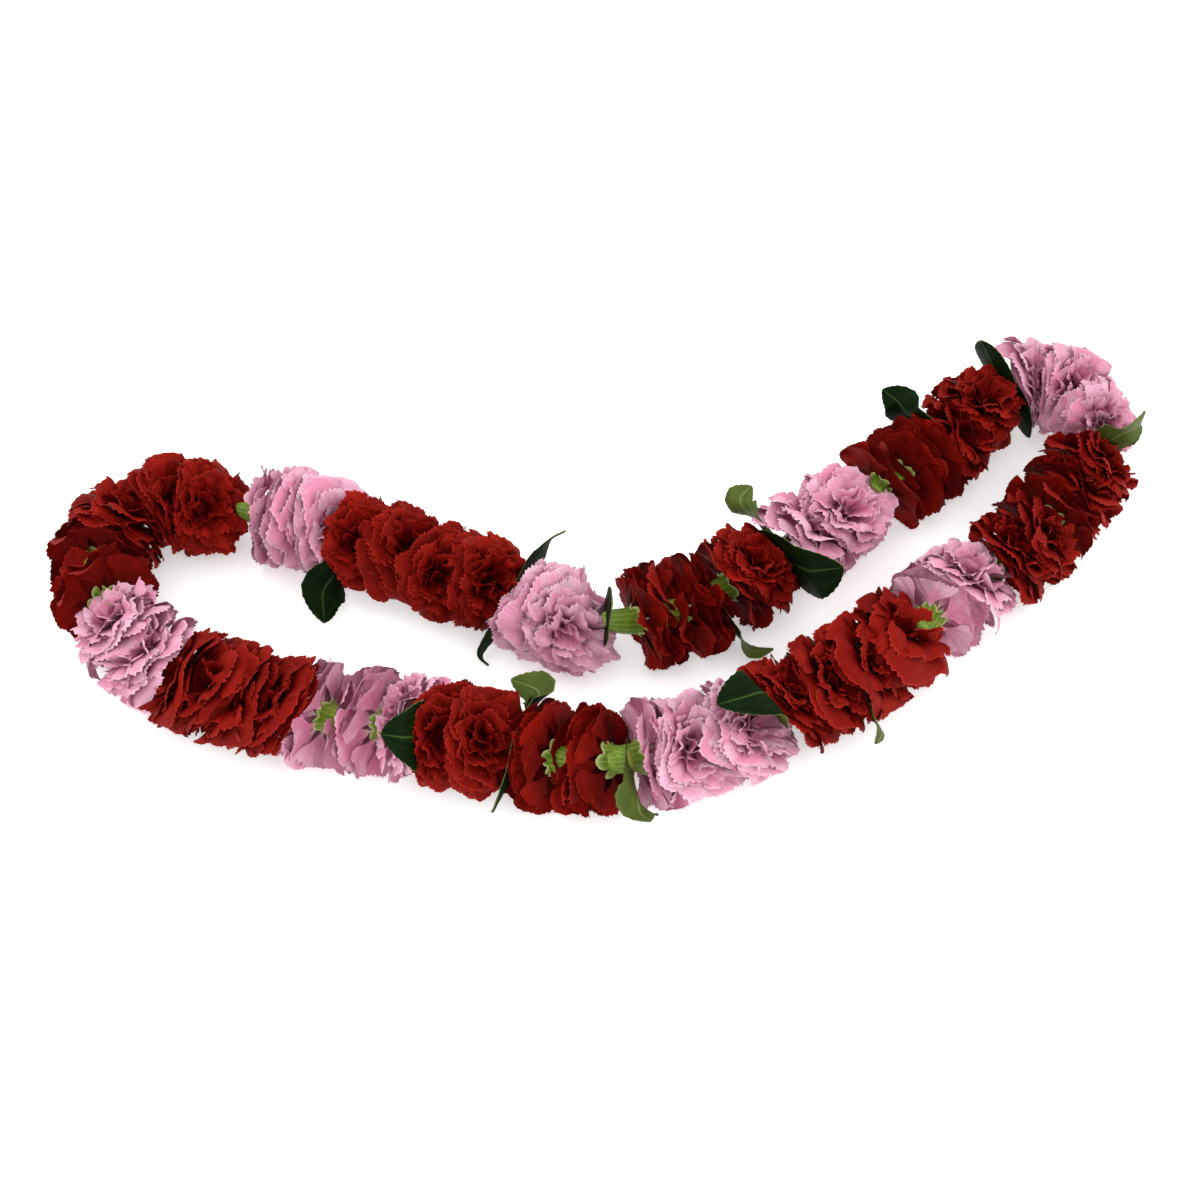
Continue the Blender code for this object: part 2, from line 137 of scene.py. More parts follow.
# leaves in the same order: degrees from outward to upward across the string, length and fold of
# the tip side, length and fold of the stalk side, width, turn of the tip; a fold runs along the
# string past the flowers, in degrees
LeafShape = namedtuple("LeafShape", "direction length fold stalk stalk_fold width turn")
LEAVES = [
    LeafShape(195, 46, 35, 10, 0, 25, 40), LeafShape(36, 38, 45, 37, 80, 18, 20),
    LeafShape(108, 28, 0, 20, 0, 26, 0), LeafShape(206, 40, 70, 22, 0, 17, 40),
    LeafShape(145, 50, 38, 26, 0, 36, 0), LeafShape(36, 40, 80, 8, 0, 21, 60),
    LeafShape(27, 39, -19, 14, 0, 32, 72), LeafShape(62, 31, -48, 14, 0, 28, 10),
    LeafShape(212, 26, 0, 20, 0, 28, 0), LeafShape(60, 39, -50, 8, 0, 18, 45),
    LeafShape(-2, 37, 60, 26, 0, 18, 20), LeafShape(80, 50, 80, 12, 0, 27, 0),
    LeafShape(7, 36, -41, 12, 0, 24, 60), LeafShape(175, 46, 82, 30, 60, 24, 70),
    LeafShape(50, 40, 83, 14, 0, 30, 0),
]
# distances along a leaf, from the string, where its fold and the turn of its tip start and how
# far they run
FOLD_START = 27.5
FOLD_ARC = 6.0
TWIST_START = 21.0
TWIST_ARC = 10.0
# leaves that turn their paler underside to the side the tip lifts towards
PALE_UP = (3, 4, 5, 7, 8, 9, 10, 12, 14, 15)
# leaves whose blade stands straighter than its slot: slope upward added to the slot's own
STRAIGHTER = {3: 0.52}
# points along and across a blade
LEAF_ROWS = 44
LEAF_COLUMNS = 23
# waves of a blade's edge: height, radians to a millimetre, distance from the midrib where they
# are full
EDGE_WAVE = 0.22
EDGE_WAVE_RATE = 0.33
EDGE_WAVE_WIDTH = 8
# how far a blade's sides fall back from its midrib past the flowers, and how far along that takes
SIDE_FALL = 0.10
SIDE_FALL_ARC = 10.0
# outline of a blade: how pointed and how full it is, and its teeth
LEAF_POINT = 0.86
LEAF_FULLNESS = 0.8
TOOTH_DEPTH = 0.25
# relief of a blade: side veins, how far they slant forward as a share of the length, and midrib
VEIN_PAIRS = 9
VEIN_DEPTH = 0.10
VEIN_SLANT = 1.3
MIDRIB_HEIGHT = 0.22
MIDRIB_WIDTH = 0.9
GROOVE_WIDTH = 0.7

# lean of the flowers: distance along the string, slope across the string, slope upward
LEANS = [
    (0, 0.0, -0.20), (63, 0.0, -0.15), (153, 0.05, -0.20), (195, 0.0, -0.15), (226, 0.12, 0.10),
    (245, -0.05, -0.15), (269, -0.10, -0.42), (297, 0.10, -0.25), (329, 0.15, -0.40),
    (361, 0.15, -0.38), (390, 0.05, -0.40), (454, 0.0, -0.20), (504, 0.10, -0.35), (550, 0.0, 0.05),
    (582, 0.0, 0.15), (671, 0.10, 0.30), (741, 0.10, 0.25), (801, -0.05, 0.35), (862, 0.0, 0.25),
    (898, 0.10, 0.05), (922, 0.05, 0.10), (942, 0.05, 0.20), (1021, 0.10, -0.25), (1081, 0.05, -0.25),
]
LEAN_CHANGE = 0.06
# girth of the strand against its fullest: distance along the string, share
GIRTHS = [
    (0, 1.0), (63, 0.94), (219, 0.92), (274, 0.98), (424, 0.98), (504, 0.88), (552, 0.94),
    (571, 0.80), (592, 0.94), (681, 0.98), (881, 1.0), (1081, 0.97),
]
# depth of the ripples of a cut between flowers, the reach where they have that depth, and the
# most that they grow past it
RIPPLE = (1.2, 2.8)
RIPPLE_REACH = 25.0
RIPPLE_MOST = 1.08
# bend of the string, as one over its radius, past which leans and ripples ease
EASED_BEND = 0.006

# how a flower fills its slice: bend past which its inner side is cramped, the share of the
# bend's radius it then fills and a reach that limits nothing elsewhere, height where petals start
# to flatten on the table, clearance under them, and how many slices past the middle of its own
# a petal may run at most
CRAMPED_BEND = 0.004
CRAMPED_SHARE = 0.72
UNCRAMPED = 99
SOFT_HEIGHT = 2.5
TABLE_CLEARANCE = 0.1
SLICE_SPREAD = 1.5

# petals of a flower from the rear whorl to the heart: how many, distance of the root from the
# axis, height of the root, length, climb of the blade at root, middle and rim in degrees from
# square to the axis, half the angle of the fan, ruffles across the fan, depth of the ruffles,
# depth of the crinkles, share of the flower's turn that the whorl takes
Whorl = namedtuple(
    "Whorl", "count root height length climb fan ruffles ruffle_depth crinkle_depth turning")
WHORLS = [
    Whorl(7, 3.5, 0.0, 24.4, (45, -8, -84), 40, 1.1, 1.5, 0.30, 0.5),
    Whorl(7, 3.5, 1.0, 24.2, (55, 8, -68), 40, 1.3, 1.8, 0.35, 0.7),
    Whorl(6, 3.5, 2.0, 23.8, (64, 24, -46), 41, 1.5, 2.2, 0.40, 0.85),
    Whorl(6, 3.5, 3.0, 23.0, (72, 39, -22), 39, 1.6, 2.5, 0.45, 1.0),
    Whorl(6, 3.2, 4.0, 21.8, (80, 53, 4), 37, 1.7, 2.6, 0.50, 1.15),
    Whorl(5, 2.6, 5.0, 19.6, (86, 66, 34), 36, 1.8, 2.6, 0.50, 1.25),
    Whorl(4, 1.6, 5.5, 17.4, (90, 80, 64), 38, 1.9, 2.4, 0.50, 1.3),
]
# the same for a broad flower, with fewer and wider fans that curl back round its side
BROAD_WHORLS = [
    Whorl(6, 3.5, 0.0, 21.0, (36, -4, -50), 42, 1.0, 1.2, 0.30, 0.75),
    Whorl(6, 3.5, 1.2, 23.0, (46, 4, -34), 46, 1.0, 1.2, 0.30, 0.8),
    Whorl(7, 3.5, 2.4, 24.5, (52, 4, -70), 42, 1.1, 1.6, 0.35, 0.85),
    Whorl(6, 3.5, 5.0, 27.5, (66, 16, -76), 44, 1.3, 2.2, 0.45, 0.9),
    Whorl(6, 3.2, 6.5, 23.5, (78, 42, -26), 42, 1.5, 2.6, 0.50, 1.0),
    Whorl(5, 2.2, 7.0, 19.0, (88, 68, 34), 40, 1.7, 2.6, 0.50, 1.1),
]
# heads that are broad, as numbers round the lei
BROAD = (1, 2, 3, 8, 10, 11, 17, 30, 31, 32, 33, 37, 38, 39, 43, 44, 45, 46, 47, 48)
# the outer whorls, which show most, have finer meshes: rows from root to rim, points across
OUTER_WHORLS = 3
OUTER_ROWS = np.array([0.0, 0.2, 0.38, 0.53, 0.66, 0.77, 0.86, 0.93, 0.975, 1.0])
OUTER_COLUMNS = 27
INNER_ROWS = np.array([0.0, 0.25, 0.5, 0.68, 0.82, 0.92, 0.975, 1.0])
INNER_COLUMNS = 21

# seeded differences between flowers: how much they open, and how much more when seen from
# behind, in degrees; whorl from which a flower that the next one covers leaves petals out, and
# how many of each
OPENING = 12
OPENING_BEHIND = 16
THINNED_FROM = 4
LEFT_OUT = 2
# tilt, in radians, from which a covered flower still shows its heart
SHOWING_TILT = 0.5
# seeded differences between petals: angle as a share of their spacing, place along the flower,
# shares of length and fan, climb at root, middle and rim, and how much of the flower's opening
# these take
PETAL_SHIFT = 0.2
PETAL_SLIDE = 0.8
LENGTH_SHARES = (0.90, 1.07)
FAN_SHARES = (0.86, 1.14)
CLIMB_WANDER = (4, 10, 20)
OPENING_SHARES = (0.0, 0.4, 1.0)
# middle of a petal: how many points it is worked out at, and how far past its length they run
MIDLINE_POINTS = 45
MIDLINE_END = 1.1
# outline of a petal: half angle of its claw and where along it the fan opens, notches of its rim
# and where they start, lobes of the rim as a share of the length and how many, how far its
# corners round off, and how much the blade is gathered sideways
CLAW_FAN = 6
FAN_OPENS = (0.1, 0.8)
NOTCH = 0.5
NOTCH_START = 0.95
LOBE = 0.05
LOBE_COUNTS = (1.0, 2.4)
CORNER_ROUNDING = 0.05
GATHERING = (0.84, 0.94)
# surface of a petal: shares of the whorl's ruffle count and depth, crinkles across the fan and
# at the rim against those, power of the distance from the root by which they all grow, depth of
# the cup and the width it is measured at, and slant
RUFFLE_COUNTS = (0.75, 1.3)
RUFFLE_DEPTHS = (0.6, 1.3)
CRINKLE_COUNTS = (2.8, 4.2)
RIM_CRINKLES = 1.6
RUFFLE_GROWTH = 2.2
CUPS = (-0.08, 0.16)
CUP_WIDTH = 10
SLANT = 0.22

# packed petals deep in a flower, as a lump with lobes: reach, then middle and half depth along
# the flower, further forward where the calyx shows, and the share of the turn it takes
HEART_REACH = 16.0
HEART_PLACE = (5.0, 4.5)
HEART_PLACE_BEHIND = (9.5, 2.5)
HEART_TURNING = 0.9
HEART_LOBES = 5
HEART_LOBE = 0.12
HEART_ROUND = 28
HEART_ROWS = 9
# place along a petal whose colour the heart takes, where it holds most of the painted shade that deepens
# towards the root
HEART_COLOUR = 0.42

# half the width of a petal or leaf in its pattern, where each has one unit across to itself
PATTERN_HALF = 0.45

# calyx from tail to teeth: distance forward of the petals' root, radius
CALYX_TAIL = -15.0
CALYX = [
    (CALYX_TAIL, 0.0), (CALYX_TAIL, 2.2), (-14.4, 3.2), (-13.0, 4.1), (-10.5, 5.0), (-7.0, 5.7),
    (-3.5, 6.0), (-1.0, 6.2), (1.2, 6.7), (2.6, 7.5), (3.4, 8.3),
]
# points round a calyx that shows and its width, and the same for one hidden in petals
CALYX_BARE = (60, 1.0)
CALYX_HIDDEN = (20, 0.78)
CALYX_RIBS = 15
CALYX_TEETH = 5
RIB_HEIGHT = 0.10
# distances forward over which the teeth part, and how deep the cuts between them run inward
# and back
TEETH_PART = (-1.0, 3.2)
CUT_INWARD = 2.0
CUT_BACK = 2.6

# heads turned out of line by their bulk: number round the lei, degrees of turn, the way the
# face goes in degrees from outward to upward, and how far it slides along the string
TURNS = {
    1: (17, 300, -2), 2: (30, 100, 0), 3: (36, 120, 0), 4: (48, 135, 1), 5: (36, 95, 0),
    6: (48, 145, 1), 7: (36, 105, 0), 8: (30, 150, 7), 9: (46, 160, 0), 10: (32, 302, 0),
    11: (34, 308, 0), 12: (24, 300, 0), 13: (50, 105, 0), 14: (28, 110, 0), 15: (52, 128, -2),
    16: (36, 305, -1), 17: (38, 308, 1), 18: (38, 302, 3), 19: (34, 120, 0), 20: (50, 100, 0),
    21: (42, 125, 0), 22: (40, 90, 0), 23: (35, 60, 0), 24: (42, 45, 0), 25: (34, 80, 0),
    26: (24, 232, 0), 27: (45, 40, 0), 28: (38, 70, 0), 29: (48, 105, 0), 30: (44, 230, 0),
    31: (42, 78, 0), 32: (44, 62, 0), 33: (44, 68, 0), 34: (46, 75, 0), 35: (34, 52, 0),
    36: (56, 55, 0), 37: (24, 232, 0), 38: (34, 232, 0), 39: (36, 232, 0), 40: (48, 70, 0),
    41: (50, 60, 0), 42: (36, 90, 0), 43: (36, 232, 0), 44: (38, 232, 1), 45: (48, 58, 1),
    46: (50, 50, 0), 47: (47, 60, 0), 48: (49, 52, -1), 49: (34, 60, 0), 50: (38, 70, 0),
    51: (38, 270, -1), 52: (40, 270, 2), 53: (34, 100, 0), 54: (42, 105, 0), 55: (42, 138, -4),
}

# string: points along it and round it, plies, and the turn of a ply in radians to a millimetre
STRING_ROWS = 900
STRING_ROUND = 12
PLIES = 3
PLY_TWIST = 1.6
PLY_DEPTH = 0.14

# colours and gloss of the petals, of both sides of a leaf, of calyx, thread and floor
# a petal's deep colour doubles as painted shade towards its root, the red's root colour is painted shade
# while the pink's is its own cream, and rim is a painted highlight
RED = {
    "body": (0.235, 0.0050, 0.0020, 1), "deep": (0.12, 0.0018, 0.0008, 1),
    "pale": (0.29, 0.010, 0.004, 1), "root": (0.05, 0.001, 0.0008, 1),
    "rim": (0.37, 0.018, 0.009, 1), "sheen": 0.0, "gloss": 0.06,
}
PINK = {
    "body": (0.69, 0.36, 0.48, 1), "deep": (0.63, 0.18, 0.31, 1),
    "pale": (0.71, 0.48, 0.57, 1), "root": (0.72, 0.56, 0.48, 1),
    "rim": (0.72, 0.50, 0.59, 1), "sheen": 0.02, "gloss": 0.06,
}
LEAF_TOP = {
    "body": (0.0045, 0.0150, 0.0025, 1), "deep": (0.0020, 0.0080, 0.0012, 1),
    "vein": (0.030, 0.060, 0.012, 1), "margin": (0.05, 0.09, 0.016, 1), "gloss": 0.03,
}
LEAF_UNDERSIDE = {
    "body": (0.080, 0.105, 0.017, 1), "deep": (0.050, 0.075, 0.011, 1),
    "vein": (0.15, 0.19, 0.055, 1), "margin": (0.16, 0.19, 0.05, 1), "gloss": 0.10,
}
LEAF_ROUGHNESS = 0.50
CALYX_DEEP = (0.085, 0.16, 0.012, 1)
CALYX_BODY = (0.17, 0.26, 0.025, 1)
CALYX_RIB = (0.30, 0.45, 0.07, 1)
CALYX_YELLOW = (0.30, 0.40, 0.07, 1)
CALYX_CREAM = (0.42, 0.46, 0.16, 1)
THREAD_SHADE = (0.62, 0.58, 0.48, 1)
THREAD_LIGHT = (0.86, 0.84, 0.77, 1)
FLOOR_SHADES = ((0.90, 0.90, 0.90, 1), (0.92, 0.92, 0.92, 1))
WHITE = (1, 1, 1, 1)

# studio, in metres and watts: half the floor's side and its glow, the two lamps as place, size
# and power, the point they light, and the light all round
FLOOR_HALF = 6.0
FLOOR_GLOW = 0.40
KEY_LAMP = ((-0.9, 0.5, 1.6), 1.2, 4.5)
FILL_LAMP = ((1.1, -0.8, 1.3), 1.6, 4.0)
LIT_POINT = (0.0, 0.0, 0.02)
LIGHT_ALL_ROUND = 1.47

# the camera, from the middle of the strand
CAMERA_PLACE = (4.05, -561.9, 724.11)
CAMERA_TILT = 38.0
CAMERA_LENS = 59.9
SENSOR_WIDTH = 36.0


def spline_table(points, steps=32):
    """Positions, directions and bend of a closed cubic B-spline, and the distances along it."""
    control = np.array(points, float)
    count = len(control)
    t = np.arange(steps) / steps
    weights = np.stack([(1 - t) ** 3, 3 * t ** 3 - 6 * t ** 2 + 4,
                        -3 * t ** 3 + 3 * t ** 2 + 3 * t + 1, t ** 3]) / 6
    slopes = np.stack([-(1 - t) ** 2, 3 * t ** 2 - 4 * t, -3 * t ** 2 + 2 * t + 1, t ** 2]) / 2
    bends = np.stack([1 - t, 3 * t - 2, 1 - 3 * t, t])
    place, slope, bend = [], [], []
    for i in range(count):
        four = control[[i - 1, i, (i + 1) % count, (i + 2) % count]]
        place.append(weights.T @ four)
        slope.append(slopes.T @ four)
        bend.append(bends.T @ four)
    place = np.vstack(place)
    slope = np.vstack(slope)
    bend = np.vstack(bend)
    speed = np.linalg.norm(slope, axis=1)
    curvature = (slope[:, 0] * bend[:, 1] - slope[:, 1] * bend[:, 0]) / speed ** 3
    steps_along = np.linalg.norm(np.roll(place, -1, axis=0) - place, axis=1)
    along = np.concatenate([[0.0], np.cumsum(steps_along)])
    return place, slope / speed[:, None], curvature, along


PLACE, HEADING, CURVATURE, ALONG = spline_table(ROUTE)
LENGTH = float(ALONG[-1])


def at(values, s):
    """Values of a table round the string at the distances s."""
    return np.interp(np.mod(s, LENGTH), ALONG, np.append(values, values[0]))


def between_marks(table, column, s):
    """A column of a short table of marks round the string, read at the distance s."""
    marks = [row[0] for row in table] + [LENGTH]
    values = [row[column] for row in table] + [table[0][column]]
    return np.interp(s % LENGTH, marks, values)


def world(s, u, v):
    """Points u outward and v upward from the string at the distances s, kept above the table."""
    tx, ty = at(HEADING[:, 0], s), at(HEADING[:, 1], s)
    x = at(PLACE[:, 0], s) - ty * u
    y = at(PLACE[:, 1], s) + tx * u
    return np.stack([x, y, np.maximum(AXIS_HEIGHT + v, 0.0)], axis=-1)


def smooth(x, low, high):
    """Smooth step from 0 to 1 between low and high."""
    share = np.clip((x - low) / (high - low), 0.0, 1.0)
    return share * share * (3 - 2 * share)


def any_turn(draw):
    """A seeded angle in radians."""
    return draw.uniform(0, ANY_TURN)


def grid_pattern(across, along):
    """Pattern places of a grid of points, from their places across and along it."""
    return np.stack(np.broadcast_arrays(across, along), axis=-1)


class Plane:
    """A leaning, rippled cut across the string."""

    def __init__(self, s, across, upward, ripple=0.0, lobes=2, turn=0.0):
        self.s, self.across, self.upward = s, across, upward
        self.ripple, self.lobes, self.turn = ripple, lobes, turn

    def at(self, u, v):
        """Distance along the string of the cut's points u outward and v upward."""
        reach = np.minimum(np.hypot(u, v) / RIPPLE_REACH, RIPPLE_MOST)
        wave = self.ripple * reach ** 2 * np.cos(self.lobes * np.arctan2(v, u) + self.turn)
        return self.s + self.across * u + self.upward * v + wave

    def moved(self, distance):
        """The same cut further along the string."""
        return Plane(self.s + distance, self.across, self.upward, self.ripple, self.lobes, self.turn)


def lean_plane(s, draw):
    """The cut at the distance s, with its lean read from the table and a small seeded change."""
    across = between_marks(LEANS, 1, s)
    upward = between_marks(LEANS, 2, s)
    tight = min(1.0, EASED_BEND / max(abs(at(CURVATURE, s)), 1e-6))
    across = (across + draw.uniform(-LEAN_CHANGE, LEAN_CHANGE)) * tight
    upward = upward + draw.uniform(-LEAN_CHANGE, LEAN_CHANGE)
    ripple = draw.uniform(*RIPPLE) * tight
    return Plane(s, float(across), float(upward), ripple, draw.choice((2, 3)), any_turn(draw))


def run_cuts(run, start, s, finish, closing, draw):
    """Cuts between the flowers of a run from s to finish, in order along the string."""
    _, side, groups, shown, _ = run
    petals_from = s + shown if side > 0 else s
    petals_to = finish if side > 0 else finish - shown
    cuts = [start.moved(shown) if side > 0 else start]
    shares = [draw.uniform(*SLICE_SHARES) for _ in range(sum(groups))]
    s = petals_from
    for i, share in enumerate(shares):
        s += (petals_to - petals_from) * share / sum(shares)
        cuts.append(closing if closing and i == len(shares) - 1 else lean_plane(s, draw))
    return cuts


def layout():
    """Slices of string for every flower and leaf, in order round the lei."""
    draw = random.Random(SEED)
    s = FIRST_JOIN
    first = lean_plane(s, draw)
    start = first
    items = []
    for run in RUNS:
        if run[0] == "leaf":
            s += LEAF_SLOT
            end = start.moved(LEAF_SLOT)
            items.append({"kind": "leaf", "planes": [start, end]})
            start = end
            continue
        colour, side, groups, shown, finish = run
        closing = None
        if run is RUNS[-1]:
            finish = FIRST_JOIN + LENGTH
            closing = first.moved(LENGTH)
        cuts = run_cuts(run, start, s, finish, closing, draw)
        rearmost = 0 if side > 0 else len(groups) - 1
        done = 0
        for order, size in enumerate(groups):
            items.append({
                "kind": colour, "side": side, "planes": cuts[done:done + size + 1],
                "shown": shown if order == rearmost else 0.0,
            })
            done += size
        start = cuts[-1] if side > 0 else cuts[-1].moved(shown)
        s = finish
    return items


class Flower:
    """One flower head's slice of string, and how its own frame maps into it."""

    def __init__(self, back, front, side, shown, covered, broad, turn):
        self.back, self.front, self.side = back, front, side
        self.shown, self.covered, self.broad = shown, covered, broad
        self.tilt, self.toward, self.slide = math.radians(turn[0]), math.radians(turn[1]), turn[2]
        self.seen_from_behind = math.sin(self.toward) < 0
        self.middle = (back.s + front.s) / 2
        self.girth = float(between_marks(GIRTHS, 1, self.middle))

    def turned(self, x, y, z, share):
        """Points of the flower after a share of its turn: outward, upward and forward."""
        tilt = self.tilt * share
        across = x * math.cos(self.toward) + y * math.sin(self.toward)
        beside = -x * math.sin(self.toward) + y * math.cos(self.toward)
        reached = across * math.cos(tilt) + z * math.sin(tilt)
        z = z * math.cos(tilt) - across * math.sin(tilt) + self.slide
        u = reached * math.cos(self.toward) - beside * math.sin(self.toward)
        v = reached * math.sin(self.toward) + beside * math.cos(self.toward)
        return u, v, z

    def held(self, u, v):
        """Places across the string, pressed into the strand's girth and up off the table."""
        reach = np.hypot(u, v)
        theta = np.arctan2(v, u)
        bend = at(CURVATURE, self.middle) * np.cos(theta)
        cramped = CRAMPED_SHARE / np.maximum(bend, CRAMPED_BEND)
        limit = np.minimum(WIDEST_REACH, np.where(bend > CRAMPED_BEND, cramped, UNCRAMPED))
        firm = limit * FIRM_REACH / WIDEST_REACH
        room = limit - firm
        reach = reach * self.girth
        reach = np.where(reach > firm, firm + room * np.tanh((reach - firm) / room), reach)
        u, above = reach * np.cos(theta), reach * np.sin(theta) + AXIS_HEIGHT
        flattened = SOFT_HEIGHT * np.exp((above - SOFT_HEIGHT) / SOFT_HEIGHT)
        above = np.where(above < SOFT_HEIGHT, flattened, above)
        return u, above - AXIS_HEIGHT + TABLE_CLEARANCE

    def place(self, x, y, z, share_of_turn):
        """Points across (x, y) and forward (z) of the flower, put into its slice."""
        u, v, z = self.turned(x, y, z, share_of_turn)
        u, v = self.held(u, v)
        share = 0.5 + SLICE_SPREAD * np.tanh((z / FLOWER_DEPTH - 0.5) / SLICE_SPREAD)
        if self.side < 0:
            share = 1.0 - share
        low, high = self.back.at(u, v) + GAP / 2, self.front.at(u, v) - GAP / 2
        return world(low + (high - low) * share, u, v)


class Mesh:
    """Vertices, faces and pattern places of a piece, gathered one patch at a time."""

    def __init__(self):
        self.vertices, self.faces, self.places, self.slots = [], [], [], []
        self.count = 0

    def patch(self, points, pattern, wrapped=False, slot=0, flip=False):
        """A grid of points with a pattern place for each; wrapped joins its last column to its first."""
        rows, columns = points.shape[:2]
        index = np.arange(rows * columns).reshape(rows, columns) + self.count
        if wrapped:
            index = np.hstack([index, index[:, :1]])
            pattern = np.concatenate([pattern, pattern[:, :1] + (1.0, 0.0)], axis=1)
        corners = [index[:-1, :-1], index[:-1, 1:], index[1:, 1:], index[1:, :-1]]
        marks = [pattern[:-1, :-1], pattern[:-1, 1:], pattern[1:, 1:], pattern[1:, :-1]]
        if flip:
            corners.reverse()
            marks.reverse()
        self.faces.append(np.stack(corners, axis=-1).reshape(-1, 4))
        self.places.append(np.stack(marks, axis=-2).reshape(-1, 2))
        self.slots.append(np.full(len(self.faces[-1]), slot))
        self.vertices.append(points.reshape(-1, 3))
        self.count += rows * columns

    def build(self, name, materials):
        """The gathered patches as one smooth object in the scene, in metres."""
        mesh = bpy.data.meshes.new(name)
        vertices = (np.vstack(self.vertices) + SHIFT) * MM
        faces = np.vstack(self.faces)
        mesh.from_pydata(vertices.tolist(), [], faces.tolist())
        pattern = mesh.uv_layers.new(name="pattern")
        pattern.data.foreach_set("uv", np.vstack(self.places).astype(np.float32).ravel())
        mesh.polygons.foreach_set("material_index", np.concatenate(self.slots).astype(np.int32))
        mesh.polygons.foreach_set("use_smooth", np.ones(len(faces), bool))
        for one in materials:
            mesh.materials.append(one)
        mesh.update()
        item = bpy.data.objects.new(name, mesh)
        bpy.context.scene.collection.objects.link(item)
        return item


def petal_midline(whorl, length, openness, draw):
    """Shares of a petal's length, and its bend, reach and rise there, along its middle."""
    root, middle, rim = [
        angle + openness * share + draw.uniform(-1, 1) * wander
        for angle, share, wander in zip(whorl.climb, OPENING_SHARES, CLIMB_WANDER)]
    shares = np.linspace(0.0, MIDLINE_END, MIDLINE_POINTS)
    bends = np.radians(root * (1 - shares) * (1 - 2 * shares) + middle * 4 * shares * (1 - shares)
                       + rim * shares * (2 * shares - 1))
    step = length * (shares[1] - shares[0])
    reach = whorl.root + np.concatenate([[0.0], np.cumsum(np.cos(bends[:-1]) * step)])
    rise = whorl.height + np.concatenate([[0.0], np.cumsum(np.sin(bends[:-1]) * step)])
    return shares, bends, reach, rise


def petal_blade(x, q, length, fan, draw):
    """Petal laid flat: how far its points lie along its middle and beside it."""
    angle = q * np.radians(CLAW_FAN + (fan - CLAW_FAN) * smooth(x, *FAN_OPENS))
    notches = np.array([draw.uniform(-NOTCH, NOTCH) for _ in range(q.size)])
    notches = notches + np.where(np.arange(q.size) % 2, NOTCH, -NOTCH)
    lobes = LOBE * np.sin(math.pi * draw.uniform(*LOBE_COUNTS) * q + any_turn(draw))
    outline = 1.0 + lobes * smooth(x, 0.5, 1.0) - CORNER_ROUNDING * q ** 4
    far = length * x * outline + notches * smooth(x, NOTCH_START, 1.0)
    return far * np.cos(angle), far * np.sin(angle) * draw.uniform(*GATHERING)


def petal_lift(x, q, beside, whorl, draw):
    """How far a petal's points stand off its middle: ruffles, crinkles, cup and slant."""
    ruffles, turn = whorl.ruffles * draw.uniform(*RUFFLE_COUNTS), any_turn(draw)
    crinkles, fine_turn = draw.uniform(*CRINKLE_COUNTS), any_turn(draw)
    depth = whorl.ruffle_depth * draw.uniform(*RUFFLE_DEPTHS)
    wave = depth * np.sin(math.pi * ruffles * q + turn + 1.0 * x)
    wave = wave + whorl.crinkle_depth * np.sin(math.pi * crinkles * q + fine_turn + 2.0 * x)
    rim_wave = np.sin(math.pi * (crinkles * RIM_CRINKLES) * q + 2.0 * fine_turn)
    wave = wave + 0.5 * whorl.crinkle_depth * rim_wave * smooth(x, 0.6, 1.0)
    cup = draw.uniform(*CUPS) * beside ** 2 / CUP_WIDTH
    return wave * x ** RUFFLE_GROWTH + cup * x + draw.uniform(-SLANT, SLANT) * beside * x


def petal(theta, whorl, rows, columns, openness, draw):
    """Points of one petal in its flower's frame: two places across and one forward."""
    x, q = rows[:, None], columns[None, :]
    length = whorl.length * draw.uniform(*LENGTH_SHARES)
    fan = whorl.fan * draw.uniform(*FAN_SHARES)
    shares, bends, reach, rise = petal_midline(whorl, length, openness, draw)
    far, beside = petal_blade(x, q, length, fan, draw)
    ahead = far / length
    bend = np.interp(ahead, shares, bends)
    lift = petal_lift(x, q, beside, whorl, draw)
    r = np.interp(ahead, shares, reach) - np.sin(bend) * lift
    z = np.interp(ahead, shares, rise) + np.cos(bend) * lift
    return r * math.cos(theta) - beside * math.sin(theta), r * math.sin(theta) + beside * math.cos(theta), z


def add_heart(mesh, flower, number):
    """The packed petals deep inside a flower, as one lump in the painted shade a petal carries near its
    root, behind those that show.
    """
    a = (np.arange(HEART_ROUND) * 2 * math.pi / HEART_ROUND)[None, :]
    h = np.linspace(0.0, math.pi, HEART_ROWS)[:, None]
    reach = HEART_REACH * np.sin(h) * (1 + HEART_LOBE * np.cos(HEART_LOBES * a + 2 * h))
    middle, depth = HEART_PLACE_BEHIND if flower.seen_from_behind else HEART_PLACE
    forward = middle - depth * np.cos(h) + 0.0 * a
    points = flower.place(reach * np.cos(a), reach * np.sin(a), forward, HEART_TURNING)
    mesh.patch(points, grid_pattern(number + 0.5 + 0.0 * a, HEART_COLOUR + 0.0 * h), wrapped=True)


